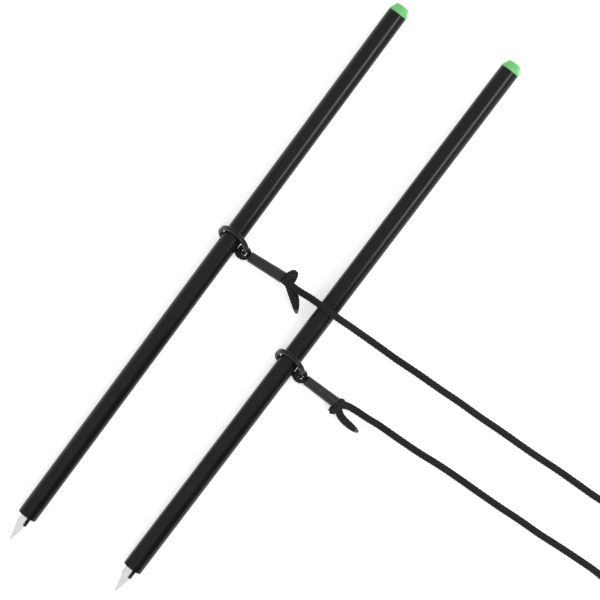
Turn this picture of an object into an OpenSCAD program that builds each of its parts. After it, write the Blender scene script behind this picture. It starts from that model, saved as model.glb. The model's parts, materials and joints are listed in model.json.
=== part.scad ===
// A pair of ground stakes joined by one long braided cord.
// Each stake is a metal tube with a push-in end cap and a steel ground spike. A split ring slides
// along the tube, and the cord is looped through the ring, gathered by a sleeve and knotted.
// The pair lies on a flat surface with the stakes along +Y, caps towards +Y. All sizes in millimetres.

/* [Tube] */
// Outside diameter of the tube
tube_d = 16; // [14:0.5:18]
// Bore of the tube
tube_bore = 12; // [10:0.5:12]
// Length of the tube
tube_len = 488; // [400:1:600]

/* [End cap] */
// Diameter of the cap's lip
cap_lip_d = 16.3; // [16:0.1:17]
// Height of the lip
cap_lip_h = 1.8; // [1:0.1:3]
// Diameter of the cap's flat top
cap_top_d = 10.6; // [8:0.1:13]
// Height of the cap above the tube
cap_h = 7.3; // [5:0.1:10]
// Length of the plug inside the tube
cap_plug_len = 14; // [8:1:20]
// Wall thickness of the hollow plug
cap_plug_wall = 1.6; // [1:0.1:3]

/* [Ground spike] */
// Diameter of the spike where it shows
spike_d = 12.5; // [12.2:0.1:15]
// Length of the spike's round part
spike_neck_len = 7; // [4:0.5:20]
// Length of the spike's point
spike_point_len = 16; // [10:0.5:30]
// Length of the shank pressed into the tube
spike_shank_len = 25; // [15:1:40]

/* [Split ring] */
// Outside diameter of the ring
ring_d = 28.8; // [28.8:0.1:29]
// Radial thickness of the ring
ring_thick = 3; // [2.8:0.1:3]
// Width of the two coils side by side
ring_w = 4; // [3.6:0.1:4]

/* [Sleeve] */
// Outside diameter of the sleeve at the ring
sleeve_ring_d = 7.1; // [6.8:0.1:7.4]
// Outside diameter of the sleeve at the knot
sleeve_knot_d = 8; // [7.6:0.1:8.4]
// Bore of the sleeve
sleeve_bore = 6; // [5.8:0.1:6]
// Length of the sleeve
sleeve_len = 31; // [28:0.5:31]

/* [Cord] */
// Diameter of the braided cord
cord_d = 5.4; // [4.8:0.1:5.4]
// Diameter of the cord where the loop is pulled tight round the ring
loop_d = 3.6; // [3:0.1:3.6]

/* [Stored coil] */
// Mean diameter of the coil's turns
coil_mean_d = 59.4; // [54:0.1:62]
// Spacing of the turns across the coil
coil_pitch = 5.6; // [5.4:0.1:5.6]
// Turns across the coil and layers of turns
coil_layers = 4; // [3:1:4]

/* [Hidden] */

// Gap left between a moving piece and what it runs against.
clear = 0.3;
round_fn = 96;
cord_sides = 8;

// How far each ring is turned about the vertical, how far its top leans towards the caps, the bevel of
// its edges, and the height of its centre on the surface.
ring_yaw = -8;
ring_lean = 24;
ring_bevel = 0.8;
ring_z = ring_d / 2 * cos(ring_lean) + (ring_w / 2 - ring_bevel) * sin(ring_lean);
ring_mean_r = (ring_d - ring_thick) / 2;

// Each stake: where its axis crosses its ring [x, y, z], its heading about Z, the length of tube from
// the ring to the spike end, how far the ring is pulled off the axis, and how far below the ring's
// centre the loop holds it.
STATION = 0;
HEADING = 1;
TAIL = 2;
RING_PULL = 3;
LOOP_DROP = 4;
STAKE_A = [[-48.5, 25.6, 12.4], 0, 269.8, 2.1, 3];
STAKE_B = [[44.6, -25.6, 12.3], -0.73, 202.6, 1.7, 2.2];

// Far ends of the sleeves, where the knots sit.
SLEEVE_END_A = [2.1, 25.4, 14.4];
SLEEVE_END_B = [94.6, -28.9, 6.2];

// Centre of the stored coil on the surface.
COIL_CENTRE = [391.5, 10.3, 0];

// Route of each cord from its knot to the stored coil.
ROUTE_A = [
    [8.5, 24.6, 14.8], [14, 24.2, 15.6], [20, 24.4, 17.4], [28, 25.1, 20.8], [36, 25.3, 24.2],
    [45, 25.4, 25.8], [52, 25.3, 24.6], [59, 25.4, 20.8], [67, 25.8, 15.2], [76, 26, 9.8],
    [86, 26.3, 5.6], [98, 26.5, 3.3], [112, 26.7, 2.8], [132, 27.6, 2.8], [152, 28.1, 2.8],
    [172, 28.9, 2.8], [192, 29.2, 2.8], [211, 30, 2.8], [230, 30.4, 2.8], [248, 31, 2.8],
    [266, 32, 2.8], [285, 32.4, 2.8], [304, 32.9, 2.8], [322, 35, 3.4], [338, 39.6, 7.5],
    [354, 44.8, 13.2], [370, 47.8, 17.8], [381, 48.3, 19], [391.5, 48.4, 19]
];
ROUTE_B = [
    [98.5, -27.4, 5.8], [102, -25.6, 5.6], [110, -24.6, 4], [121, -24.1, 2.8], [132, -23.1, 2.8],
    [151, -22.6, 2.8], [170, -21.8, 2.8], [188, -20.3, 2.8], [207, -19.5, 2.8], [226, -19.1, 2.8],
    [245, -18.5, 2.8], [264, -17.5, 2.8], [283, -17, 2.8], [301, -15.8, 2.8], [320, -14.8, 2.8],
    [338, -14.4, 2.8], [352, -16.2, 2.8], [366, -21.2, 2.8], [379, -26.2, 2.8], [391.5, -27.8, 2.8]
];

// Tag ends: points with the radius at each, from the knot to the melted tip.
TAG_A = [
    [7.5, 23.8, 13.6, 2.6], [12, 21.5, 12.6, 2.9], [18.5, 17.7, 10.6, 3.1], [23, 13.6, 8.2, 2.5],
    [27, 9, 5.8, 0.5]
];
TAG_B = [
    [98.5, -32.6, 4.8, 2.6], [101.5, -35.2, 3.6, 2.8], [107.5, -36.4, 3, 2.8], [115, -37, 2.7, 2.3],
    [121.5, -37.2, 2, 0.5]
];

// Lobes of each knot: centre and radius.
KNOT_A = [[7.3, 23.8, 14.8, 4.2], [7, 27, 15.2, 4], [8.2, 31.2, 14.8, 3.4]];
KNOT_B = [[99.1, -32.6, 5.2, 3.9], [99.5, -29.5, 5.8, 4.4], [98.9, -26.8, 5.6, 3.9]];

// Point a fraction t of the way from b to c, on the smooth curve through a, b, c and d.
function curve_point(a, b, c, d, t) =
    (2 * b + (c - a) * t + (2 * a - 5 * b + 4 * c - d) * t * t + (3 * b - a - 3 * c + d) * t * t * t) / 2;

// The route with a point added half way along each stretch.
function smooth_route(p) = [
    for (i = [0:len(p) - 2])
        for (t = [0, 0.5])
            curve_point(p[max(i - 1, 0)], p[i], p[i + 1], p[min(i + 2, len(p) - 1)], t),
    p[len(p) - 1]
];

function unit(v) = v / norm(v);
function place(p) = [p[0], p[1], p[2]];
function direction(p, i) = unit(place(p[min(i + 1, len(p) - 1)]) - place(p[max(i - 1, 0)]));

// One ring of points round point i of a route: radii come from the route, or are all the same.
function ring_points(p, i, r) =
    let (
        along = direction(p, i),
        side = unit(cross([0, 0, 1], along)),
        up = cross(along, side),
        radius = is_undef(r) ? p[i][3] : r
    )
    [for (k = [0:cord_sides - 1])
        place(p[i]) + radius * (cos(k * 360 / cord_sides) * side + sin(k * 360 / cord_sides) * up)];

// A closed round tube along a route.
module sweep(p, r = undef) {
    n = len(p);
    points = [for (i = [0:n - 1]) each ring_points(p, i, r)];
    walls = [
        for (i = [0:n - 2])
            for (k = [0:cord_sides - 1])
                let (a = i * cord_sides + k, b = i * cord_sides + (k + 1) % cord_sides)
                    each [[a, a + cord_sides, b], [b, a + cord_sides, b + cord_sides]]
    ];
    start = [for (k = [0:cord_sides - 1]) k];
    end = [for (k = [0:cord_sides - 1]) n * cord_sides - 1 - k];
    polyhedron(points, concat(walls, [start, end]));
}

// How far a stake's cap end is raised: its ring holds it up and its spike end lies on the surface.
function lie_tilt(s) = asin((s[STATION][2] - tube_d / 2) / s[TAIL]);

// Puts a child that is drawn along +Y from the ring into a stake's place.
module at_stake(s) {
    translate(s[STATION]) rotate([lie_tilt(s), 0, s[HEADING]]) children();
}

// Puts a child that is drawn round the Y axis into a ring's place.
module at_ring(s) {
    translate(ring_centre(s))
        rotate([-ring_lean, 0, ring_heading(s)])
            children();
}

// A ring's centre and heading, and its own directions: level across it, along its axis, and up it.
function ring_centre(s) = [
    s[STATION][0] + s[RING_PULL] * cos(s[HEADING]),
    s[STATION][1] + s[RING_PULL] * sin(s[HEADING]),
    ring_z
];
function ring_heading(s) = s[HEADING] + ring_yaw;
function ring_level(s) = [cos(ring_heading(s)), sin(ring_heading(s)), 0];
function ring_axis(s) = [
    -sin(ring_heading(s)) * cos(ring_lean),
    cos(ring_heading(s)) * cos(ring_lean),
    -sin(ring_lean)
];
function ring_up(s) = cross(ring_level(s), ring_axis(s));

// The place where a ring's strand passes through its cord loop.
function loop_place(s) =
    ring_centre(s) + sqrt(ring_mean_r * ring_mean_r - s[LOOP_DROP] * s[LOOP_DROP]) * ring_level(s)
        - s[LOOP_DROP] * ring_up(s);

// A link's own directions: from the ring's strand to the sleeve's far end, and across both coils.
function link_along(s, end) = unit(end - loop_place(s));
function link_side(s, end) = unit(ring_axis(s) - (ring_axis(s) * link_along(s, end)) * link_along(s, end));
function link_len(s, end) = norm(end - loop_place(s));

// Puts a child that is drawn along +X from the ring's strand into a link's place, +Y across the coils.
module at_link(s, end) {
    from = loop_place(s);
    x = link_along(s, end);
    y = link_side(s, end);
    z = cross(x, y);
    multmatrix([
        [x[0], y[0], z[0], from[0]],
        [x[1], y[1], z[1], from[1]],
        [x[2], y[2], z[2], from[2]]
    ])
        children();
}

// How far a ring's strand is off square in its loop: skewed across the coils, and leaning up or down.
function strand_skew(s, end) = abs(asin(ring_axis(s) * link_along(s, end)));
function strand_lean(s, end) = abs(asin(s[LOOP_DROP] / ring_mean_r) + asin(link_along(s, end)[2]));

// A tube open at both ends.
module tube(s) {
    color([0.06, 0.06, 0.065])
        at_stake(s)
            translate([0, -s[TAIL], 0])
                rotate([-90, 0, 0])
                    difference() {
                        cylinder(d = tube_d, h = tube_len, $fn = round_fn);
                        translate([0, 0, -1]) cylinder(d = tube_bore, h = tube_len + 2, $fn = round_fn);
                    }
}

// A tapered cap with a rounded top edge and a hollow plug that fills the bore.
module end_cap(s) {
    edge_r = 1.2;
    slope = atan2((cap_lip_d - cap_top_d) / 2, cap_h - cap_lip_h);
    corner = [cap_top_d / 2 - edge_r * (1 - sin(slope)) / cos(slope), cap_h - edge_r];
    color([0.25, 0.78, 0.3])
        at_stake(s)
            translate([0, tube_len - s[TAIL], 0])
                rotate([-90, 0, 0])
                    rotate_extrude($fn = round_fn)
                        polygon(concat(
                            [[tube_bore / 2 - cap_plug_wall, -cap_plug_len], [tube_bore / 2, -cap_plug_len]],
                            [[tube_bore / 2, 0], [cap_lip_d / 2, 0], [cap_lip_d / 2, cap_lip_h]],
                            [for (a = [slope:(90 - slope) / 4:90]) corner + edge_r * [cos(a), sin(a)]],
                            [[0, cap_h], [0, 0], [tube_bore / 2 - cap_plug_wall, 0]]
                        ));
}

// A turned steel spike: a shank in the bore, a neck that seats on the tube, and a point.
module spike(s) {
    tip_d = 0.8;
    color([0.8, 0.81, 0.83])
        at_stake(s)
            translate([0, -s[TAIL], 0])
                rotate([90, 0, 0])
                    union() {
                        translate([0, 0, -spike_shank_len])
                            cylinder(d = tube_bore, h = spike_shank_len, $fn = round_fn);
                        cylinder(d = spike_d, h = spike_neck_len, $fn = round_fn);
                        translate([0, 0, spike_neck_len])
                            cylinder(d1 = spike_d, d2 = tip_d, h = spike_point_len, $fn = round_fn);
                    }
}

// Two flat coils side by side, with a groove where they meet.
module split_ring(s) {
    inner = ring_d / 2 - ring_thick;
    outer = ring_d / 2;
    half = ring_w / 2;
    groove = 0.35;
    profile = [
        [inner, ring_bevel - half], [inner + ring_bevel, -half],
        [outer - ring_bevel, -half], [outer, ring_bevel - half],
        [outer, -groove], [outer - groove, 0], [outer, groove],
        [outer, half - ring_bevel], [outer - ring_bevel, half],
        [inner + ring_bevel, half], [inner, half - ring_bevel],
        [inner, groove], [inner + groove, 0], [inner, -groove]
    ];
    color([0.1, 0.1, 0.11])
        at_ring(s)
            rotate([-90, 0, 0])
                rotate_extrude($fn = round_fn)
                    polygon(profile);
}

// A cord loop round the ring's strand, its two legs drawn together into the sleeve.
module cord_loop(s, end) {
    squareness = 0.55;
    slack = 0.02;
    skew = strand_skew(s, end);
    strand_thick = ring_thick * cos(skew) + ring_w * sin(skew);
    strand_w = ring_w * cos(skew) + ring_thick * sin(skew);
    inside = (strand_thick + loop_d + clear) / 2 / pow(cos(strand_lean(s, end)), 2);
    leg = (strand_w + loop_d + clear) / 2 + clear;
    leg_r = sleeve_bore / 4 - slack;
    mouth = link_len(s, end) - sleeve_len;
    // From the sleeve's far end to beside the strand: distance along, distance out, 0 and radius.
    upper_leg = [
        [link_len(s, end) - clear, leg_r, 0, leg_r], [mouth - 0.2, leg_r, 0, leg_r],
        [mouth - 1.4, leg_r + 0.6, 0, 1.55], [mouth / 2, leg - 0.8, 0, 1.6], [1, leg - 0.1, 0, loop_d / 2]
    ];
    bight = [
        for (a = [80:-20:-80])
            [-inside * pow(cos(a), squareness), sign(a) * leg * pow(abs(sin(a)), squareness), 0, loop_d / 2]
    ];
    lower_leg = [for (i = [len(upper_leg) - 1:-1:0]) [upper_leg[i][0], -upper_leg[i][1], 0, upper_leg[i][3]]];
    color([0.05, 0.05, 0.05])
        at_link(s, end)
            sweep(concat(upper_leg, bight, lower_leg));
}

// A tapered sleeve that gathers the loop's legs.
module sleeve(s, end) {
    color([0.2, 0.21, 0.19])
        at_link(s, end)
            translate([link_len(s, end) - sleeve_len, 0, 0])
                rotate([0, 90, 0])
                    difference() {
                        cylinder(d1 = sleeve_ring_d, d2 = sleeve_knot_d, h = sleeve_len, $fn = round_fn);
                        translate([0, 0, -1]) cylinder(d = sleeve_bore, h = sleeve_len + 2, $fn = round_fn);
                    }
}

// A stopper knot as one smooth lump over its lobes.
module knot(lobes) {
    color([0.05, 0.05, 0.05])
        hull()
            for (k = lobes)
                translate(place(k)) sphere(r = k[3], $fn = 32);
}

// The knot's short free end, flared and drawn to a melted tip.
module tag_end(p) {
    color([0.06, 0.055, 0.05]) sweep(p);
}

// The cord along one route.
module cord_run(p) {
    color([0.05, 0.05, 0.05]) sweep(smooth_route(p), cord_d / 2);
}

// Outline of the coil's bundle of turns, grown by an even margin.
module bundle_outline(grow = 0) {
    wide = (coil_layers - 1) * coil_pitch + cord_d + 2 * grow;
    high = coil_layers * cord_d + grow;
    r = cord_d / 2 + grow;
    near = coil_mean_d / 2 - wide / 2 + r;
    far = coil_mean_d / 2 + wide / 2 - r;
    corners = [[far, r, -90], [far, high - r, 0], [near, high - r, 90], [near, r, 180]];
    polygon([
        for (c = corners)
            for (a = [0:15:90])
                [c[0] + r * cos(a + c[2]), c[1] + r * sin(a + c[2])]
    ]);
}

// The stored length of cord, wound in a round coil.
module cord_coil() {
    color([0.05, 0.05, 0.05])
        translate(COIL_CENTRE)
            rotate_extrude($fn = round_fn)
                bundle_outline();
}

// A strap round the coil's bundle.
module coil_tie() {
    tie_thick = 1;
    tie_angle = 17;
    color([0.12, 0.12, 0.12])
        translate(COIL_CENTRE)
            rotate([0, 0, -tie_angle / 2])
                rotate_extrude(angle = tie_angle, $fn = round_fn)
                    difference() {
                        bundle_outline(tie_thick);
                        bundle_outline();
                    }
}

tube(STAKE_A);  // tube_a
end_cap(STAKE_A);  // end_cap_a
spike(STAKE_A);  // spike_a
split_ring(STAKE_A);  // split_ring_a
cord_loop(STAKE_A, SLEEVE_END_A);  // cord_loop_a
sleeve(STAKE_A, SLEEVE_END_A);  // sleeve_a
knot(KNOT_A);  // knot_a
tag_end(TAG_A);  // tag_end_a
cord_run(ROUTE_A);  // cord_run_a
tube(STAKE_B);  // tube_b
end_cap(STAKE_B);  // end_cap_b
spike(STAKE_B);  // spike_b
split_ring(STAKE_B);  // split_ring_b
cord_loop(STAKE_B, SLEEVE_END_B);  // cord_loop_b
sleeve(STAKE_B, SLEEVE_END_B);  // sleeve_b
knot(KNOT_B);  // knot_b
tag_end(TAG_B);  // tag_end_b
cord_run(ROUTE_B);  // cord_run_b
cord_coil();
coil_tie();
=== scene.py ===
"""The looks of a pair of corded ground stakes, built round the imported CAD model.

Lengths are in metres, in the CAD model's own frame. Values given in millimetres are times MM.
"""

import json
import math

import bpy
import numpy as np
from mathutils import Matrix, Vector


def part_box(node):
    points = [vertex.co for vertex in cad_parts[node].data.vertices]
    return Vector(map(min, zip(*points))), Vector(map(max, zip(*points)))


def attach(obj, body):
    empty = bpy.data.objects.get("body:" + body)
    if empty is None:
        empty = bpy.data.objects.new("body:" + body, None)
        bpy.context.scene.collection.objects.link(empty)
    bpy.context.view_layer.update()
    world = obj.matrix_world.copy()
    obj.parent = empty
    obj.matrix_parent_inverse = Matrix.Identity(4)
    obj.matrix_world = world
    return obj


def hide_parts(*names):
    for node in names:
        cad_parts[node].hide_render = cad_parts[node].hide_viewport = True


MM = 0.001

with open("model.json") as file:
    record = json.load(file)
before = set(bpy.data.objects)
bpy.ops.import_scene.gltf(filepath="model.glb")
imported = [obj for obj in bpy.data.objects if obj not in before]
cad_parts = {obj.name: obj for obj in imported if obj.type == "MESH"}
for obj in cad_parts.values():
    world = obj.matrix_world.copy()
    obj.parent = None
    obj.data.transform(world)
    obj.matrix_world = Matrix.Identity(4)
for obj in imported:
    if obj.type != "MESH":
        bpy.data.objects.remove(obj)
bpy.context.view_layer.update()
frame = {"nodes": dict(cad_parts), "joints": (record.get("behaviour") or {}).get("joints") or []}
nodes = frame["nodes"]
joints = {j["name"]: j for j in frame["joints"]}

# ---------------------------------------------------------------- camera

CAMERA_LENS = 162
CAMERA_DISTANCE = 2.11
CAMERA_TURN = math.radians(36.46)
CAMERA_AIM = (23.0 * MM, 19.1 * MM, 13 * MM)

camera_data = bpy.data.cameras.new("camera")
camera_data.lens = CAMERA_LENS
camera_data.sensor_width = 36
camera_data.clip_end = 50
camera = bpy.data.objects.new("camera", camera_data)
camera.location = Vector(CAMERA_AIM) + Vector((0, 0, CAMERA_DISTANCE))
camera.rotation_euler = (0, 0, CAMERA_TURN)
bpy.context.scene.collection.objects.link(camera)
bpy.context.scene.camera = camera


# ---------------------------------------------------------------- lines and meshes


def unit(v):
    return v / np.linalg.norm(v)


def smooth_line(points, steps=24):
    """A dense Catmull-Rom curve through the points, which may carry radii as a fourth value."""
    p = np.array(points, float)
    p = np.vstack([2 * p[0] - p[1], p, 2 * p[-1] - p[-2]])
    t = np.linspace(0, 1, steps, endpoint=False)[:, None]
    parts = []
    for a, b, c, d in zip(p, p[1:], p[2:], p[3:]):
        square = 2 * a - 5 * b + 4 * c - d
        cube = 3 * b - a - 3 * c + d
        parts.append(0.5 * (2 * b + (c - a) * t + square * t**2 + cube * t**3))
    return np.vstack(parts + [p[-2:-1]])


def spaced(line, spacing):
    """The line's points again, an even distance apart that is as near as possible to spacing."""
    gone = np.r_[0, np.cumsum(np.linalg.norm(np.diff(line[:, :3], axis=0), axis=1))]
    count = max(2, round(gone[-1] / spacing) + 1)
    even = np.linspace(0, gone[-1], count)
    return np.column_stack([np.interp(even, gone, line[:, i]) for i in range(line.shape[1])])


def carried_frames(line):
    """Two directions across the line at each of its points, carried along it without twist."""
    along = np.gradient(line, axis=0)
    along /= np.linalg.norm(along, axis=1)[:, None]
    side = np.cross([0, 0, 1], along[0])
    if np.linalg.norm(side) < 0.1:
        side = np.cross([0, 1, 0], along[0])
    sides = []
    for t in along:
        side = unit(side - (side @ t) * t)
        sides.append(side)
    sides = np.array(sides)
    return sides, np.cross(along, sides)


def grid_faces(rings, around):
    """Quads between each ring of points and the next, facing out."""
    i = np.arange(rings - 1)[:, None] * around
    k = np.arange(around)[None, :]
    after = (k + 1) % around
    return np.stack([i + k, i + after, i + around + after, i + around + k], axis=-1).reshape(-1, 4)


def build(name, parts, materials):
    """One object from parts of (points, faces, corner UVs or None, material index of each face)."""
    points = []
    faces = []
    corners = []
    indices = []
    for part_points, part_faces, part_uv, part_index in parts:
        start = len(points)
        points += part_points.tolist()
        faces += [[start + v for v in face] for face in part_faces]
        total = sum(len(face) for face in part_faces)
        corners.append(np.zeros((total, 2)) if part_uv is None else part_uv)
        indices += part_index
    mesh = bpy.data.meshes.new(name)
    mesh.from_pydata(points, [], faces)
    mesh.uv_layers.new(name="strands").data.foreach_set("uv", np.vstack(corners).ravel())
    mesh.polygons.foreach_set("material_index", indices)
    mesh.polygons.foreach_set("use_smooth", [True] * len(faces))
    mesh.update()
    for m in materials:
        mesh.materials.append(m)
    piece = bpy.data.objects.new(name, mesh)
    bpy.context.scene.collection.objects.link(piece)
    return piece


# ---------------------------------------------------------------- braid

CORD_R = 2.7 * MM
# A strand meets the next one every PICK along the cord, and STRANDS of each hand go round it.
PICK = 3.6 * MM
STRANDS = 6
# Points across one strand, along the cord and round it.
STRAND_POINTS = 4
AROUND = STRAND_POINTS * STRANDS
# Heights as shares of the cord's radius: a strand's rounding, its rise and fall, and its highest point.
CROWN = 0.2
DIP = 0.09
CREST = 1.1


def weave(u, w):
    """Height of a plain weave whose two sets of strands are numbered by the whole parts of u and w."""
    first_row = np.floor(u)
    second_row = np.floor(w)
    across_first = u - first_row - 0.5
    across_second = w - second_row - 0.5
    over = np.where((first_row + second_row) % 2 == 0, 1.0, -1.0)
    first = CROWN * np.sqrt(1 - 4 * across_first**2) + DIP * over * np.cos(np.pi * across_second)
    second = CROWN * np.sqrt(1 - 4 * across_second**2) - DIP * over * np.cos(np.pi * across_first)
    return np.maximum(first, second)


def braid(line, tip_length=0):
    """A braided cord along a line of x, y, z and radius. Its last tip_length is in the second material."""
    mean_r = line[:, 3].mean()
    line = spaced(line, PICK / STRAND_POINTS * mean_r / CORD_R)
    count = len(line)
    side, up = carried_frames(line[:, :3])
    j = np.arange(count)[:, None]
    k = np.arange(AROUND)[None, :]
    turn = 2 * np.pi * k / AROUND
    relief = weave((k + j) / STRAND_POINTS, (k - j) / STRAND_POINTS)
    radius = line[:, 3:4] * (CREST - CROWN - DIP + relief)
    points = line[:, None, :3] + radius[..., None] * (
        np.cos(turn)[..., None] * side[:, None] + np.sin(turn)[..., None] * up[:, None]
    )
    quads = grid_faces(count, AROUND)
    row = np.arange(count - 1)[:, None]
    corner_k = np.stack([k + 0 * row, k + 1 + 0 * row, k + 1 + 0 * row, k + 0 * row], axis=-1)
    corner_j = np.stack([row + 0 * k, row + 0 * k, row + 1 + 0 * k, row + 1 + 0 * k], axis=-1)
    uv = np.stack([corner_k + corner_j, corner_k - corner_j], axis=-1).reshape(-1, 2) / STRAND_POINTS
    ends = [list(range(AROUND))[::-1], list(range((count - 1) * AROUND, count * AROUND))]
    uv = np.vstack([uv, np.zeros((2 * AROUND, 2))])
    left = np.linalg.norm(np.diff(line[:, :3], axis=0), axis=1)[::-1].cumsum()[::-1]
    index = np.repeat((left < tip_length).astype(int), AROUND).tolist() + [0, int(tip_length > 0)]
    return points.reshape(-1, 3), quads.tolist() + ends, uv, index


# ---------------------------------------------------------------- materials


def material(name, settings):
    """A material whose Principled shader has these values."""
    made = bpy.data.materials.new(name)
    made.use_nodes = True
    shader = made.node_tree.nodes["Principled BSDF"]
    for socket, value in settings.items():
        shader.inputs[socket].default_value = value
    return made, made.node_tree, shader


def add(tree, kind, properties=None, **inputs):
    """A new node. An input that is a socket is linked, and any other is set as its value."""
    node = tree.nodes.new(kind)
    for key, value in (properties or {}).items():
        setattr(node, key, value)
    for key, value in inputs.items():
        socket = node.inputs[int(key[1:])] if key[1:].isdigit() else node.inputs[key.replace("_", " ")]
        if isinstance(value, bpy.types.NodeSocket):
            tree.links.new(value, socket)
        else:
            socket.default_value = value
    return node


def maths(tree, operation, a, b=0.0):
    return add(tree, "ShaderNodeMath", {"operation": operation}, _0=a, _1=b).outputs[0]


def noise(tree, scale, stretch=(1, 1, 1), detail=3.0, roughness=0.5):
    """Noise in the object's own frame, closer together along an axis whose stretch is larger."""
    place = add(tree, "ShaderNodeTexCoord").outputs["Object"]
    mapped = add(tree, "ShaderNodeMapping", Vector=place, Scale=stretch).outputs[0]
    settings = {"Scale": scale, "Detail": detail, "Roughness": roughness}
    return add(tree, "ShaderNodeTexNoise", Vector=mapped, **settings).outputs[0]


def ramp(tree, value, low, high, low_color, high_color):
    """The value from low to high as a blend of two colours."""
    node = add(tree, "ShaderNodeValToRGB", Fac=value)
    for stop, position, color in zip(node.color_ramp.elements, (low, high), (low_color, high_color)):
        stop.position = position
        stop.color = (*color, 1)
    return node.outputs["Color"]


def paint(tree, shader, *blend):
    """Colours the shader with a ramp."""
    tree.links.new(ramp(tree, *blend), shader.inputs["Base Color"])


def spread(tree, value, low, high, to_low, to_high):
    """The value from low to high as a number from to_low to to_high."""
    made = add(tree, "ShaderNodeMapRange", _0=value, _1=low, _2=high, _3=to_low, _4=to_high)
    return made.outputs[0]


def bump(tree, shader, height, strength, distance, under=None):
    """Adds relief to the shader, on top of an earlier bump if there is one."""
    made = add(tree, "ShaderNodeBump", Strength=strength, Distance=distance, Height=height)
    if under is not None:
        tree.links.new(under, made.inputs["Normal"])
    tree.links.new(made.outputs[0], shader.inputs["Normal"])
    return made.outputs[0]


def braided(name, low_color, high_color, rough):
    """Braided yarn with fine filaments along each strand, and painted shade: each strand darker towards
    its sides, where it meets or dives under the next one, and between its filaments.
    """
    made, tree, shader = material(name, {"Roughness": rough, "Specular IOR Level": 0.12})
    split = add(tree, "ShaderNodeSeparateXYZ", Vector=add(tree, "ShaderNodeUVMap").outputs[0])
    u, w = split.outputs[0], split.outputs[1]
    rows = maths(tree, "ADD", maths(tree, "FLOOR", u), maths(tree, "FLOOR", w))
    over = maths(tree, "FLOORED_MODULO", rows, 2.0)
    across = add(tree, "ShaderNodeMix", _0=over, _2=u, _3=w).outputs[0]
    centre = maths(tree, "PINGPONG", across, 0.5)
    filament = maths(tree, "PINGPONG", maths(tree, "MULTIPLY", across, 5.0), 0.5)
    fuzz = noise(tree, 900, detail=4.0, roughness=0.7)
    patches = noise(tree, 55)
    # Painted shade: each strand lighter in its middle and darker at its seams, with finer painted shade
    # between the filaments.
    seam_shade = maths(tree, "MULTIPLY", centre, 1.1)
    shade = maths(tree, "ADD", seam_shade, maths(tree, "MULTIPLY", filament, 0.35))
    shade = maths(tree, "MULTIPLY", shade, spread(tree, patches, 0.3, 0.7, 0.8, 1.15))
    paint(tree, shader, shade, 0.05, 0.8, low_color, high_color)
    under = bump(tree, shader, filament, 0.6, 0.12 * MM)
    bump(tree, shader, fuzz, 0.35, 0.15 * MM, under)
    return made


def tube_finish():
    """Black anodised tube: fine draw lines along it, faint cloudiness and a few pale specks."""
    made, tree, shader = material("tube_black", {"Specular IOR Level": 0.17})
    lines = noise(tree, 1.0, (2600, 9, 2600), 2.0)
    clouds = noise(tree, 38)
    specks = noise(tree, 1500, detail=1.0)
    base = ramp(tree, clouds, 0.3, 0.75, (0.005, 0.005, 0.0054), (0.0072, 0.0072, 0.0076))
    pale = spread(tree, specks, 0.77, 0.8, 0.0, 0.25)
    speckled = {"_0": pale, "_6": base, "_7": (0.06, 0.06, 0.06, 1)}
    color = add(tree, "ShaderNodeMix", {"data_type": "RGBA"}, **speckled)
    tree.links.new(color.outputs[2], shader.inputs["Base Color"])
    tree.links.new(spread(tree, clouds, 0.3, 0.7, 0.15, 0.2), shader.inputs["Roughness"])
    bump(tree, shader, lines, 0.25, 0.03 * MM)
    return made


def cap_finish():
    """Green moulded plastic with a fine even texture and slight flow marks."""
    made, tree, shader = material(
        "cap_green",
        {"Specular IOR Level": 0.4, "Subsurface Weight": 0.15, "Subsurface Scale": 0.8 * MM},
    )
    flow = noise(tree, 120, (1, 0.4, 1))
    grain = noise(tree, 2600, detail=2.0)
    paint(tree, shader, flow, 0.3, 0.7, (0.105, 0.41, 0.115), (0.13, 0.475, 0.14))
    tree.links.new(spread(tree, grain, 0.3, 0.7, 0.3, 0.42), shader.inputs["Roughness"])
    bump(tree, shader, grain, 0.2, 0.05 * MM)
    return made


def steel_finish():
    """Turned and polished steel with fine marks round it."""
    made, tree, shader = material("spike_steel", {"Metallic": 1.0})
    turning = noise(tree, 1.0, (60, 3800, 60), 2.0)
    smudge = noise(tree, 160)
    paint(tree, shader, smudge, 0.3, 0.7, (0.66, 0.67, 0.665), (0.74, 0.75, 0.74))
    tree.links.new(spread(tree, smudge, 0.3, 0.7, 0.1, 0.2), shader.inputs["Roughness"])
    bump(tree, shader, turning, 0.25, 0.02 * MM)
    return made


def ring_finish():
    """Gloss black plating with slight orange peel, worn a little thinner in places."""
    made, tree, shader = material(
        "ring_black",
        {"Specular IOR Level": 0.22, "Coat Weight": 0.12, "Coat Roughness": 0.05},
    )
    peel = noise(tree, 700, detail=2.0)
    wear = noise(tree, 260)
    paint(tree, shader, wear, 0.4, 0.8, (0.006, 0.006, 0.0065), (0.016, 0.016, 0.017))
    tree.links.new(spread(tree, wear, 0.3, 0.7, 0.14, 0.2), shader.inputs["Roughness"])
    bump(tree, shader, peel, 0.2, 0.03 * MM)
    return made


def sleeve_finish():
    """Grey-green shrink sleeve, smooth, with faint lengthwise flow and matt handling marks."""
    made, tree, shader = material("sleeve_grey", {"Specular IOR Level": 0.3})
    flow = noise(tree, 1.0, (40, 700, 700), 3.0)
    marks = noise(tree, 300)
    paint(tree, shader, flow, 0.25, 0.75, (0.0085, 0.0095, 0.007), (0.0135, 0.015, 0.0115))
    tree.links.new(spread(tree, marks, 0.3, 0.7, 0.18, 0.26), shader.inputs["Roughness"])
    bump(tree, shader, flow, 0.2, 0.06 * MM)
    return made


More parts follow.
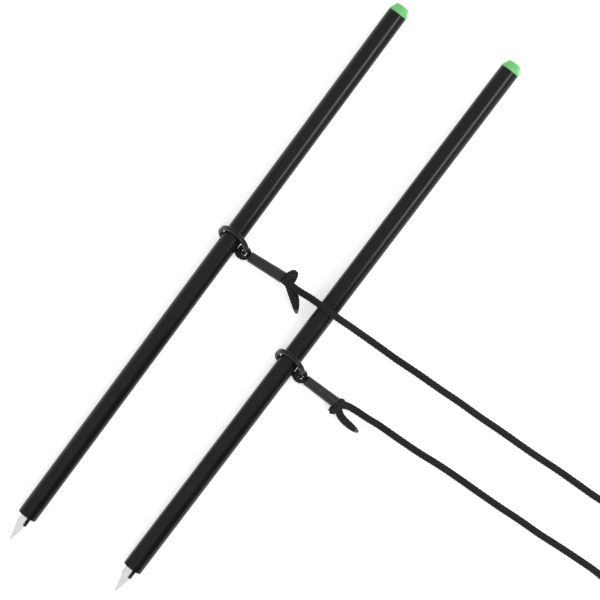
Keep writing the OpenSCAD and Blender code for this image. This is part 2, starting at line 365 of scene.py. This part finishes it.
def melt_finish():
    """The cord's melted tip: fused yarn, brown-black and half glossy."""
    made, tree, shader = material("melted_tip", {"Specular IOR Level": 0.5})
    lumps = noise(tree, 500)
    paint(tree, shader, lumps, 0.35, 0.7, (0.02, 0.017, 0.014), (0.13, 0.095, 0.065))
    tree.links.new(spread(tree, lumps, 0.3, 0.7, 0.3, 0.55), shader.inputs["Roughness"])
    bump(tree, shader, lumps, 0.6, 0.2 * MM)
    return made


def strap_finish():
    """Woven strap: fine ribs across it and a soft nap."""
    made, tree, shader = material(
        "tie_black",
        {"Roughness": 0.85, "Sheen Weight": 0.15, "Specular IOR Level": 0.2},
    )
    split = add(tree, "ShaderNodeSeparateXYZ", Vector=add(tree, "ShaderNodeUVMap").outputs[0])
    ribs = maths(tree, "PINGPONG", split.outputs[0], 0.5)
    wales = maths(tree, "PINGPONG", split.outputs[1], 0.5)
    cloth = maths(tree, "MULTIPLY", ribs, wales)
    nap = noise(tree, 1400, detail=4.0)
    paint(tree, shader, cloth, 0.0, 0.2, (0.008, 0.008, 0.009), (0.026, 0.026, 0.028))
    under = bump(tree, shader, cloth, 0.8, 0.25 * MM)
    bump(tree, shader, nap, 0.3, 0.1 * MM, under)
    return made


# The cord's first colour is the painted shade in its seams, and the second is the strands' own black at
# their middles.
CORD_BLACK = braided("cord_black", (0.004, 0.0039, 0.0036), (0.026, 0.0253, 0.023), 0.72)
MELTED = melt_finish()
TUBE_BLACK = tube_finish()
CAP_GREEN = cap_finish()
SPIKE_STEEL = steel_finish()
RING_BLACK = ring_finish()
SLEEVE_GREY = sleeve_finish()
TIE_BLACK = strap_finish()

# ---------------------------------------------------------------- the free cord

# Route of each end of the cord from its knot to the stored coil, in millimetres.
ROUTE_A = [
    (8.5, 24.6, 14.8), (14, 24.2, 15.6), (20, 24.4, 17.4), (28, 25.1, 20.8), (36, 25.3, 24.2),
    (45, 25.4, 25.8), (52, 25.3, 24.6), (59, 25.4, 20.8), (67, 25.8, 15.2), (76, 26, 9.8),
    (86, 26.3, 5.6), (98, 26.5, 3.3), (112, 26.7, 2.8), (132, 27.6, 2.8), (152, 28.1, 2.8),
    (172, 28.9, 2.8), (192, 29.2, 2.8), (211, 30, 2.8), (230, 30.4, 2.8), (248, 31, 2.8),
    (266, 32, 2.8), (285, 32.4, 2.8), (304, 32.9, 2.8), (322, 35, 3.4), (338, 39.6, 7.5),
    (354, 44.8, 13.2), (370, 47.8, 17.8), (381, 48.3, 19), (391.5, 48.4, 19),
]
ROUTE_B = [
    (98.5, -27.4, 5.8), (102, -25.6, 5.6), (110, -24.6, 4), (121, -24.1, 2.8), (132, -23.1, 2.8),
    (151, -22.6, 2.8), (170, -21.8, 2.8), (188, -20.3, 2.8), (207, -19.5, 2.8), (226, -19.1, 2.8),
    (245, -18.5, 2.8), (264, -17.5, 2.8), (283, -17, 2.8), (301, -15.8, 2.8), (320, -14.8, 2.8),
    (338, -14.4, 2.8), (352, -16.2, 2.8), (366, -21.2, 2.8), (379, -26.2, 2.8), (391.5, -27.8, 2.8),
]
COIL_CENTRE = (391.5, 10.3)
COIL_START_R = 38.1
COIL_TOP_Z = 19
COIL_LAYERS = 4
COIL_GAUGE = 5.4
LAYER_TURNS = 3.125
TURN_STEPS = 72
COIL_POINT_EVERY = 6


def coil_points():
    """The coil's turns, clockwise from above. Each turn lies one cord from the turn before it."""
    layer_steps = round(LAYER_TURNS * TURN_STEPS)
    radii = [COIL_START_R - COIL_GAUGE * i / TURN_STEPS for i in range(layer_steps + 1)]
    heights = [COIL_TOP_Z] * len(radii)
    inward = True
    for layer in range(1, COIL_LAYERS):
        side = -1 if inward else 1
        height = COIL_TOP_Z - layer * COIL_GAUGE
        for i in range(1, TURN_STEPS + 1):
            t = i / TURN_STEPS
            fallen = t * t * (3 - 2 * t)
            radii.append(radii[-TURN_STEPS] + side * COIL_GAUGE * math.sqrt(1 - fallen**2))
            heights.append(height + COIL_GAUGE * (1 - fallen))
        for i in range(layer_steps):
            rise = (heights[-TURN_STEPS] - height) / COIL_GAUGE
            radii.append(radii[-TURN_STEPS] - side * COIL_GAUGE * math.sqrt(max(0, 1 - rise**2)))
            heights.append(height)
        inward = not inward
    points = []
    for i in range(0, len(radii), COIL_POINT_EVERY):
        angle = math.radians(90 - 360 * i / TURN_STEPS)
        points.append(
            (
                COIL_CENTRE[0] + radii[i] * math.cos(angle),
                COIL_CENTRE[1] + radii[i] * math.sin(angle),
                heights[i],
            )
        )
    return points


def free_cord():
    """The whole cord as one braided tube, from knot to knot through the coil."""
    points = np.array(ROUTE_A[:-1] + coil_points() + ROUTE_B[-2::-1], float) * MM
    line = spaced(smooth_line(points), PICK / STRAND_POINTS)
    line[:, 2] = np.maximum(line[:, 2], CREST * CORD_R)
    piece = build("cord", [braid(np.column_stack([line, np.full(len(line), CORD_R)]))], [CORD_BLACK])
    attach(piece, "line")
    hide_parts("cord_run_a", "cord_run_b", "cord_coil")


free_cord()

# ---------------------------------------------------------------- knots and tag ends

# Strands of each knot as x, y, z and radius: the wrap, then the two strands that leave the sleeve.
KNOT_A = [
    [
        (8.8, 26.4, 11.2, 2.6), (8.4, 29.8, 11.0, 3.0), (7.5, 32.2, 12.8, 3.2), (6.9, 32.5, 15.4, 3.2),
        (5.7, 30.3, 17.4, 3.2), (4.6, 27.0, 17.8, 3.2), (4.4, 24.6, 16.2, 3.0), (6.6, 23.6, 12.8, 2.6),
    ],
    [(1.9, 26.9, 14.6, 2.2), (4.2, 26.6, 14.8, 2.6), (8.0, 25.2, 15.0, 2.7), (11.5, 24.4, 15.2, 2.6)],
    [(1.9, 23.7, 14.3, 2.2), (4.2, 23.7, 14.1, 2.6), (8.0, 23.7, 13.6, 2.6)],
]
KNOT_B = [
    [
        (98.2, -30.5, 3.4, 2.6), (97.6, -27.2, 3.6, 2.9), (96.8, -26.1, 5.8, 3.1),
        (96.4, -27.4, 8.0, 3.2), (96.0, -30.6, 8.6, 3.3), (95.4, -33.7, 7.6, 3.3),
        (95.0, -35.3, 5.4, 3.2), (96.0, -34.0, 3.4, 2.9), (97.6, -31, 3.3, 2.6),
    ],
    [(94.4, -27.4, 6.4, 2.2), (96.6, -27.3, 6.2, 2.5), (99.5, -27.0, 5.9, 2.7), (102.5, -25.6, 5.6, 2.6)],
    [(94.4, -30.5, 5.9, 2.2), (96.6, -31.4, 5.6, 2.5), (99.4, -32.8, 4.8, 2.7)],
]

# Tag ends as x, y, z and radius, from the knot to the melted tip.
TAG_A = [
    (7.5, 23.8, 13.6, 2.6), (12, 21.5, 12.6, 3.1), (18, 17.9, 10.7, 3.6), (22, 14.4, 8.7, 3.0),
    (25.3, 10.9, 6.8, 2.0), (27, 9, 5.8, 0.9),
]
TAG_B = [
    (99.0, -32.6, 4.8, 2.7), (102.2, -34.9, 3.6, 2.9), (107.5, -36.4, 3.1, 2.9), (114, -37, 2.8, 2.7),
    (119, -37.2, 2.4, 2.0), (121.5, -37.2, 2, 0.8),
]
TIP_LENGTH = 4 * MM


def strand(points):
    return smooth_line(np.array(points, float) * MM)


def on_line(piece, node):
    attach(piece, "line")
    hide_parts(node)


for key, strands, tag in (("a", KNOT_A, TAG_A), ("b", KNOT_B, TAG_B)):
    knot = build(f"knot_strands_{key}", [braid(strand(s)) for s in strands], [CORD_BLACK])
    on_line(knot, f"knot_{key}")
    tag_end = build(f"tag_{key}", [braid(strand(tag), TIP_LENGTH)], [CORD_BLACK, MELTED])
    on_line(tag_end, f"tag_end_{key}")

# ---------------------------------------------------------------- coil tie

TIE_WIDTH = 11.5 * MM
TIE_THICK = 1 * MM
TIE_CORNER_R = 3.2 * MM
# Where the strap passes through the coil's middle, from the coil's centre.
TIE_INNER = 17.4 * MM
# The free end's width and thickness, as shares of the strap's, and how far it lies off the strap.
LAP_WIDTH = 0.96
LAP_THICK = 0.8
LAP_LIFT = 0.9 * TIE_THICK
RIB_WIDTH = 0.7 * MM


def coil_strap():
    """A woven strap round the coil's bundle, its end lapped over itself on top."""
    low, high = (np.array(v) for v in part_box("coil_tie"))
    centre_y = (low[1] + high[1]) / 2
    near = COIL_CENTRE[0] * MM + TIE_INNER
    far = high[0]
    top = high[2]
    r = TIE_CORNER_R
    corners = (
        (far - r, r, -90),
        (far - r, top - r, 0),
        (near + r, top - r, 90),
        (near + r, r, 180),
    )
    outline = []
    for x, z, start in corners:
        for step in range(7):
            angle = math.radians(start + step * 15)
            outline.append((x + r * math.cos(angle), z + r * math.sin(angle)))
    outline.append(outline[0])
    loop = np.array(outline)
    middle = np.array([(near + far) / 2, top / 2])
    lap = np.array([p + LAP_LIFT * unit(p - middle) for p in loop[7:16]])
    parts = [
        band(loop, centre_y, TIE_WIDTH, TIE_THICK),
        band(lap, centre_y, TIE_WIDTH * LAP_WIDTH, TIE_THICK * LAP_THICK),
    ]
    piece = build("strap", parts, [TIE_BLACK])
    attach(piece, "line")
    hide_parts("coil_tie")


def band(line, centre_y, width, thick):
    """A flat strip with rounded edges that follows a line in the XZ plane."""
    dense = spaced(line, 1 * MM)
    along = np.gradient(dense, axis=0)
    along /= np.linalg.norm(along, axis=1)[:, None]
    out = np.column_stack([along[:, 1], -along[:, 0]])
    half = width / 2
    edge = thick / 2
    section = []
    for centre, start in ((half - edge, -90), (edge - half, 90)):
        for step in range(7):
            angle = math.radians(start + step * 30)
            section.append((centre + edge * math.cos(angle), edge * math.sin(angle)))
    section = np.array(section)
    count = len(section)
    inset = dense - out * edge
    x = inset[:, None, 0] + out[:, None, 0] * section[None, :, 1]
    z = inset[:, None, 1] + out[:, None, 1] * section[None, :, 1]
    y = centre_y + section[None, :, 0] + 0 * x
    points = np.stack([x, y, np.maximum(z, 0.05 * MM)], axis=-1).reshape(-1, 3)
    quads = grid_faces(len(dense), count)
    ends = [list(range(count))[::-1], list(range((len(dense) - 1) * count, len(dense) * count))]
    flat = points[np.array(quads).ravel()]
    row = np.repeat(np.arange(len(dense) - 1), count * 4).astype(float)
    uv = np.column_stack([row, flat[:, 1] / RIB_WIDTH])
    uv = np.vstack([uv, np.zeros((2 * count, 2))])
    return points, quads.tolist() + ends, uv, [0] * (len(quads) + 2)


coil_strap()

# ---------------------------------------------------------------- cord loops, sleeves and split rings

RING_R = 14.4 * MM
RING_THICK = 3 * MM
RING_W = 4 * MM
RING_EDGE = 0.85 * MM
# A ring's two coils are this much narrower than half its width, so that a seam shows between them.
RING_SEAM = 0.04 * MM
# The cross-over takes this many degrees each side of its middle, and the wire's ends stop as far from it.
RING_END = 26
# Degrees round the ring from the loop to the cross-over's middle.
RING_CROSSING = 95
LOOP_R = 1.8 * MM
SLEEVE_LEN = 31 * MM
SLEEVE_BORE_R = 3 * MM
SLEEVE_WALL = 0.45 * MM
SLEEVE_LIP = 0.12 * MM
SLEEVE_AROUND = 96
# How far the bore is modelled into each open end.
SLEEVE_MOUTH = 1.5 * MM
# The sleeve's radius at the ring's end before its own swell, and how much it grows towards the knot.
SLEEVE_R = 3.55 * MM
SLEEVE_FLARE = 0.45 * MM
SLEEVE_OVAL = 0.1 * MM
SLEEVE_RIPPLE = 0.05 * MM
# Radians round the sleeve: a crease's width, how far it wanders, and where it swells on each side.
CREASE_WIDTH = 0.16
CREASE_WANDER = 0.12
CREASE_SIDE = 0.4
# The swelling's height, and the crease's depth at the sleeve's ends, as shares of the crease's depth.
CREASE_LIFT = 0.5
CREASE_AT_ENDS = 0.4
CLEAR = 0.3 * MM
# Below 1 the end of the loop is squarer than a circle.
BIGHT_SQUARE = 0.45


def link_frame(key):
    """Where a link starts, its own line, its loop's sideways direction, and its length."""
    twist = joints[f"link_{key}_twist"]
    ring_axis = Vector(joints[f"ring_{key}_turn"]["axis"])
    start = np.array(twist["pos_m"])
    along = unit(np.array(twist["axis"]))
    level = unit(np.cross([0, 0, 1], along))
    lean = math.asin(-ring_axis.z)
    side = math.cos(lean) * level - math.sin(lean) * np.cross(along, level)
    sleeve = np.array([v.co for v in nodes[f"sleeve_{key}"].data.vertices])
    return start, along, side, float(((sleeve - start) @ along).max())


def cord_loop(key):
    """The cord looped round the ring's strand, both legs drawn together into the sleeve."""
    start, along, side, length = link_frame(key)
    node = np.array([v.co for v in nodes[f"cord_loop_{key}"].data.vertices])
    inside = -float(((node - start) @ along).min()) - LOOP_R
    leg = (RING_W + 2 * LOOP_R + CLEAR) / 2 + CLEAR
    narrow = SLEEVE_BORE_R / 2 - 0.02 * MM
    mouth = length - SLEEVE_LEN
    upper = [
        (length - CLEAR, narrow, narrow),
        (mouth - 0.2 * MM, narrow, narrow),
        (mouth - 1.4 * MM, narrow + 0.6 * MM, 1.55 * MM),
        (mouth / 2, leg - 0.8 * MM, 1.6 * MM),
        (1 * MM, leg - 0.1 * MM, LOOP_R),
    ]
    bight = []
    for degrees in range(80, -81, -20):
        c = math.cos(math.radians(degrees))
        s = math.sin(math.radians(degrees))
        bight.append((-inside * c**BIGHT_SQUARE, math.copysign(leg * abs(s) ** BIGHT_SQUARE, s), LOOP_R))
    lower = [(x, -y, r) for x, y, r in reversed(upper)]
    line = np.array([(*(start + x * along + y * side), r) for x, y, r in upper + bight + lower])
    piece = build(f"loop_{key}", [braid(smooth_line(line))], [CORD_BLACK])
    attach(piece, f"link_{key}")
    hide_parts(f"cord_loop_{key}")


def sleeve(key, swell, crease_depth, crease_degrees):
    """A shrink sleeve: slightly oval over its two strands, a long crease, and open ends with a wall."""
    start, along, _, length = link_frame(key)
    level = unit(np.cross([0, 0, 1], along))
    up = np.cross(along, level)
    turn = np.arange(SLEEVE_AROUND) * 2 * np.pi / SLEEVE_AROUND
    inside = -SLEEVE_WALL - 0.1 * MM
    stations = [(SLEEVE_MOUTH, inside), (0.0, -SLEEVE_WALL), (0.0, -SLEEVE_LIP), (SLEEVE_LIP, 0.0)]
    stations += [(s * MM, 0.0) for s in np.linspace(0.6, 30.4, 40)]
    stations += [(SLEEVE_LEN - SLEEVE_LIP, 0.0), (SLEEVE_LEN, -SLEEVE_LIP), (SLEEVE_LEN, -SLEEVE_WALL)]
    stations += [(SLEEVE_LEN - SLEEVE_MOUTH, inside)]
    rows = []
    for place, depth in stations:
        share = place / SLEEVE_LEN
        radius = SLEEVE_R + SLEEVE_FLARE * share + swell + depth
        ripple = SLEEVE_RIPPLE * math.sin(share * 19 + 0.7) * math.sin(math.pi * share)
        crease = math.radians(crease_degrees) + CREASE_WANDER * math.sin(share * 2.4)
        off = (turn - crease + np.pi) % (2 * np.pi) - np.pi
        here = 1 if depth == 0 else CREASE_AT_ENDS
        dent = -crease_depth * np.exp(-((off / CREASE_WIDTH) ** 2)) * here
        beside = (np.abs(off) - CREASE_SIDE) / CREASE_WIDTH
        lift = CREASE_LIFT * crease_depth * np.exp(-(beside**2))
        oval = SLEEVE_OVAL * np.cos(2 * turn)
        r = radius + ripple + dent + lift + oval
        centre = start + (length - SLEEVE_LEN + place) * along
        rows.append(centre + r[:, None] * (np.cos(turn)[:, None] * level + np.sin(turn)[:, None] * up))
    faces = grid_faces(len(rows), SLEEVE_AROUND).tolist()
    skin = (np.vstack(rows), faces, None, [0] * len(faces))
    piece = build(f"shrink_sleeve_{key}", [skin], [SLEEVE_GREY])
    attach(piece, f"link_{key}")
    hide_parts(f"sleeve_{key}")


def split_ring(key):
    """A flat wire wound twice round, with a step where it crosses from one coil to the other."""
    turn = joints[f"ring_{key}_turn"]
    centre = np.array(turn["pos_m"])
    axis = unit(np.array(turn["axis"]))
    to_loop = np.array(joints[f"link_{key}_twist"]["pos_m"]) - centre
    first = unit(to_loop - (to_loop @ axis) * axis)
    second = np.cross(axis, first)
    half_t = RING_THICK / 2
    half_w = (RING_W / 2 - RING_SEAM) / 2
    section = []
    corners = ((1, 1, 0), (-1, 1, 90), (-1, -1, 180), (1, -1, 270))
    for sx, sy, begin in corners:
        for step in range(5):
            angle = math.radians(begin + step * 22.5)
            section.append(
                (
                    sx * (half_t - RING_EDGE) + RING_EDGE * math.cos(angle),
                    sy * (half_w - RING_EDGE) + RING_EDGE * math.sin(angle),
                )
            )
    rows = []
    for degrees in range(RING_END, 721 - RING_END, 2):
        t = min(1, max(0, (degrees - 360 + RING_END) / (2 * RING_END)))
        shift = (t * t * (3 - 2 * t) - 0.5) * RING_W / 2
        angle = math.radians(degrees + RING_CROSSING)
        out = math.cos(angle) * first + math.sin(angle) * second
        middle = centre + (RING_R - half_t) * out + shift * axis
        rows += [middle + a * out - b * axis for a, b in section]
    count = len(section)
    faces = grid_faces(len(rows) // count, count).tolist()
    faces += [list(range(count))[::-1], list(range(len(rows) - count, len(rows)))]
    piece = build(f"key_ring_{key}", [(np.array(rows), faces, None, [0] * len(faces))], [RING_BLACK])
    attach(piece, f"ring_{key}")
    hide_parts(f"split_ring_{key}")


# Each sleeve's swell, and its crease's depth and place round it in degrees.
SLEEVES = {"a": (0.7 * MM, 0.04 * MM, 62), "b": (0.5 * MM, 0.42 * MM, 106)}
for key, shape in SLEEVES.items():
    cord_loop(key)
    sleeve(key, *shape)
    split_ring(key)

# ---------------------------------------------------------------- stakes

TUBE_R = 8 * MM
BORE_R = 6 * MM
SHANK_LEN = 25 * MM
NECK_R = 6.25 * MM
NECK_LEN = 7 * MM
POINT_LEN = 16 * MM
TIP_R = 0.4 * MM
LIP_R = 8.15 * MM
LIP_H = 1.8 * MM
CAP_TOP_R = 5.3 * MM
CAP_H = 7.3 * MM
CAP_EDGE = 1.2 * MM
PLUG_LEN = 14 * MM
PLUG_WALL = 1.6 * MM
LATHE_AROUND = 128


def rounded(corners, radii, steps=5):
    """A profile of (radius, height) with rounded corners, and the straights held true beside them."""
    points = []
    last = len(corners) - 1
    for i, (corner, r) in enumerate(zip(corners, radii)):
        here = np.array(corner)
        if r == 0 or i in (0, last):
            points.append(here)
            continue
        back = unit(np.array(corners[i - 1]) - here)
        ahead = unit(np.array(corners[i + 1]) - here)
        half = math.acos(max(-1, min(1, float(back @ ahead)))) / 2
        reach = r / math.tan(half)
        middle = here + unit(back + ahead) * r / math.sin(half)
        a = here + back * reach - middle
        b = here + ahead * reach - middle
        sweep = math.pi - 2 * half
        points.append(here + back * (reach + 0.15 * r))
        for step in range(steps + 1):
            t = step / steps
            swing = a * math.sin((1 - t) * sweep) + b * math.sin(t * sweep)
            points.append(middle + swing / math.sin(sweep))
        points.append(here + ahead * (reach + 0.15 * r))
    return points


def lathe(name, profile, origin, axis, finish):
    """A turned piece: the profile swept round the axis from origin."""
    side = unit(np.cross([0, 0, 1], axis))
    up = np.cross(axis, side)
    turn = np.arange(LATHE_AROUND) * 2 * np.pi / LATHE_AROUND
    spoke = np.cos(turn)[:, None] * side + np.sin(turn)[:, None] * up
    rows = [origin + h * axis + max(r, 1e-6) * spoke for r, h in profile]
    faces = grid_faces(len(rows), LATHE_AROUND)[:, ::-1].tolist()
    return build(name, [(np.vstack(rows), faces, None, [0] * len(faces))], [finish])


def cap_profile():
    """From the gate mark's dish at the top's centre down over the lip, then up inside the plug."""
    corners = [
        (0, CAP_H - 0.25 * MM), (1.1 * MM, CAP_H - 0.25 * MM), (1.35 * MM, CAP_H), (CAP_TOP_R, CAP_H),
        (LIP_R - 0.15 * MM, LIP_H), (LIP_R, LIP_H - 0.1 * MM), (LIP_R, 0.02 * MM), (BORE_R, 0.02 * MM),
        (BORE_R, -PLUG_LEN), (BORE_R - PLUG_WALL, -PLUG_LEN), (BORE_R - PLUG_WALL, 0), (0, 0),
    ]
    radii = [
        0, 0.12 * MM, 0.12 * MM, CAP_EDGE, 0.06 * MM, 0.06 * MM,
        0.3 * MM, 0.1 * MM, 0.4 * MM, 0.2 * MM, 0.3 * MM, 0,
    ]
    return rounded(corners, radii)


def spike_profile():
    """From the tip up the point and neck, with a thin undercut where the neck seats on the tube."""
    corners = [
        (0, NECK_LEN + POINT_LEN), (TIP_R, NECK_LEN + POINT_LEN), (NECK_R, NECK_LEN), (NECK_R, 0.5 * MM),
        (NECK_R - 0.22 * MM, 0.35 * MM), (NECK_R - 0.22 * MM, 0.02 * MM), (BORE_R, 0.02 * MM),
        (BORE_R, -SHANK_LEN), (0, -SHANK_LEN),
    ]
    radii = [0, 0.3 * MM, 0.5 * MM, 0.1 * MM, 0.05 * MM, 0, 0, 0.6 * MM, 0]
    return rounded(corners, radii)


def tube_profile(length):
    """From half way up the bore, over the head's end, down the outside and back up the bore."""
    half_way = (BORE_R, length / 2)
    corners = [half_way, (BORE_R, length), (TUBE_R, length), (TUBE_R, 0), (BORE_R, 0), half_way]
    radii = [0, 0.25 * MM, 0.35 * MM, 0.35 * MM, 0.25 * MM, 0]
    return rounded(corners, radii)


def stake(key):
    """The tube with its cap and spike, each turned about the stake's own axis."""
    axis = unit(np.array(joints[f"stake_{key}_slide"]["axis"]))
    tube = np.array([v.co for v in nodes[f"tube_{key}"].data.vertices])
    along = tube @ axis
    middle = tube.mean(axis=0)
    foot = middle + (along.min() - middle @ axis) * axis
    length = float(along.max() - along.min())
    head = foot + length * axis
    pieces = (
        (lathe(f"tube_body_{key}", tube_profile(length), foot, axis, TUBE_BLACK), "tube", "tube_black"),
        (lathe(f"cap_{key}", cap_profile(), head, axis, CAP_GREEN), "end_cap", "cap_green"),
        (lathe(f"ground_spike_{key}", spike_profile(), foot, -axis, SPIKE_STEEL), "spike", "spike_steel"),
    )
    for piece, node, slot in pieces:
        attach(piece, f"stake_{key}")
        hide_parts(f"{node}_{key}")


for key in "ab":
    stake(key)

# ---------------------------------------------------------------- floor and light

FLOOR_HALF = 12
SOFTBOX_PLACE = (0.98, 0.42, 1.3)
SOFTBOX_SIZE = (1.0, 0.58)
SOFTBOX_POWER = 14
SOFTBOX_AIM = (0, 0.25, 0)
BOARD_Y = (-0.75, 0.04)
# The x and z of the board's upper edge and of its lower edge.
BOARD_UPPER = (0.72, 1.55)
BOARD_LOWER = (1.6, 0.2)


def plain_sheet(name, corners, finish):
    """One flat face that belongs to the studio."""
    mesh = bpy.data.meshes.new(name)
    mesh.from_pydata(corners, [], [[0, 1, 2, 3]])
    mesh.materials.append(finish)
    sheet = bpy.data.objects.new(name, mesh)
    bpy.context.scene.collection.objects.link(sheet)
    return sheet


def floor():
    """A plain white light table: a matt surface with a faint glow of its own."""
    made, tree, shader = material(
        "floor_white",
        {
            "Roughness": 0.9,
            "Specular IOR Level": 0.1,
            "Emission Color": (1, 1, 1, 1),
            "Emission Strength": 0.33,
        },
    )
    paint(tree, shader, noise(tree, 3), 0.3, 0.7, (0.93, 0.93, 0.93), (0.95, 0.95, 0.95))
    corners = [(-1, -1), (1, -1), (1, 1), (-1, 1)]
    surface = plain_sheet("floor", [(x * FLOOR_HALF, y * FLOOR_HALF, 0) for x, y in corners], made)


def softbox():
    """A soft panel that faces its aim."""
    data = bpy.data.lights.new("softbox", "AREA")
    data.shape = "RECTANGLE"
    data.size, data.size_y = SOFTBOX_SIZE
    data.energy = SOFTBOX_POWER
    lamp = bpy.data.objects.new("softbox", data)
    lamp.location = SOFTBOX_PLACE
    back = Vector(SOFTBOX_PLACE) - Vector(SOFTBOX_AIM)
    lamp.rotation_euler = back.to_track_quat("Z", "Y").to_euler()
    bpy.context.scene.collection.objects.link(lamp)


def dark_side():
    """The studio's unlit corner: a black board beside the spikes' half that only reflections show."""
    made, _, _ = material("board_black", {"Base Color": (0, 0, 0, 1), "Specular IOR Level": 0.0})
    near, far = BOARD_Y
    upper_x, upper_z = BOARD_UPPER
    lower_x, lower_z = BOARD_LOWER
    corners = [
        (upper_x, near, upper_z),
        (upper_x, far, upper_z),
        (lower_x, far, lower_z),
        (lower_x, near, lower_z),
    ]
    board = plain_sheet("board", corners, made)
    board.visible_camera = False
    board.visible_diffuse = False
    board.visible_shadow = False
    board.visible_transmission = False


world = bpy.data.worlds.new("studio")
world.use_nodes = True
background = world.node_tree.nodes["Background"]
background.inputs["Color"].default_value = (1, 1, 1, 1)
background.inputs["Strength"].default_value = 1.0
bpy.context.scene.world = world
bpy.context.scene.view_settings.view_transform = "Standard"

floor()
softbox()
dark_side()

# ---------------------------------------------------------------- finish

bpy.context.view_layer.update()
